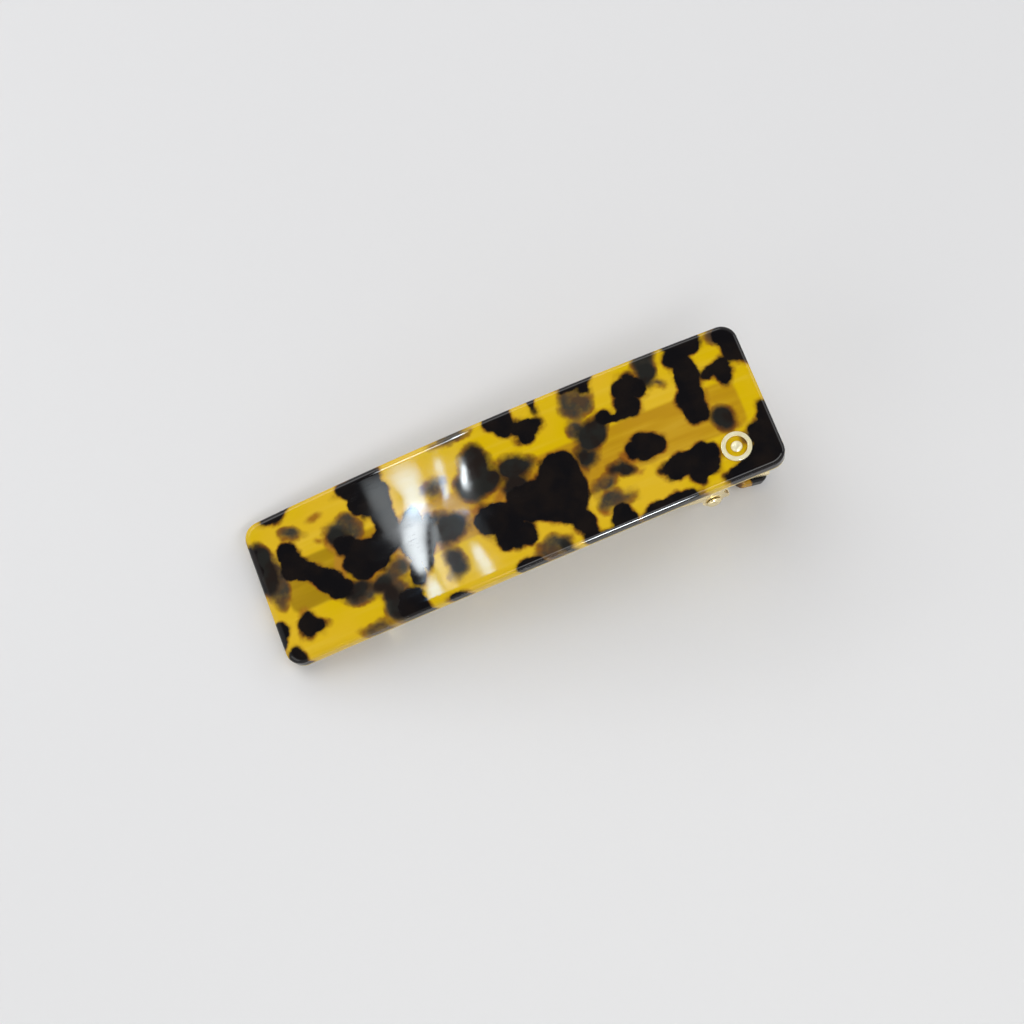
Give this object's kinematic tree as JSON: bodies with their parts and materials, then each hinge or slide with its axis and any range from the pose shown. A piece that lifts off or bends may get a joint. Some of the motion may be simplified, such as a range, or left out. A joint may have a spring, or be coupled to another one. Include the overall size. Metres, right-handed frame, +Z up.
{
  "type": "barrette",
  "caption": "Rectangular acetate hair clip: a bowed plate on a sprung, toothed metal clip that opens when its thumb pad is squeezed.",
  "frame": {"origin": "middle of the bounding box, on the table the clip lies on", "axes": "+X along the clip towards its hinge and thumb pad, +Y across it, +Z up from the table"},
  "size_m": [0.0824, 0.0252, 0.0196],
  "materials": {
    "acetate": "polished tortoiseshell, amber with near-black and brown blotches",
    "gold_metal": "bright pale gold plating",
    "spring_steel": "plain drawn wire"
  },
  "bodies": {
    "top": {"top_plate": "acetate", "emblem_ring": "gold_metal", "emblem_dot": "gold_metal", "base_strip": "gold_metal", "strip_stud_front": "gold_metal", "strip_stud_rear": "gold_metal", "hinge_pin": "gold_metal", "torsion_spring": "spring_steel"},
    "lower_jaw": {"jaw": "gold_metal", "thumb_pad": "acetate", "pad_stud_left": "gold_metal", "pad_stud_right": "gold_metal"}
  },
  "joints": [
    {"name": "jaw_hinge", "type": "hinge", "parent": "top", "child": "lower_jaw", "pos_m": [0.02962, 0, 0.00807], "axis": [0, -1, 0], "range_deg": [0, 40], "stiffness_Nm_per_rad": 0.08, "springref_deg": -34.38, "deforming": ["torsion_spring"]}
  ]
}
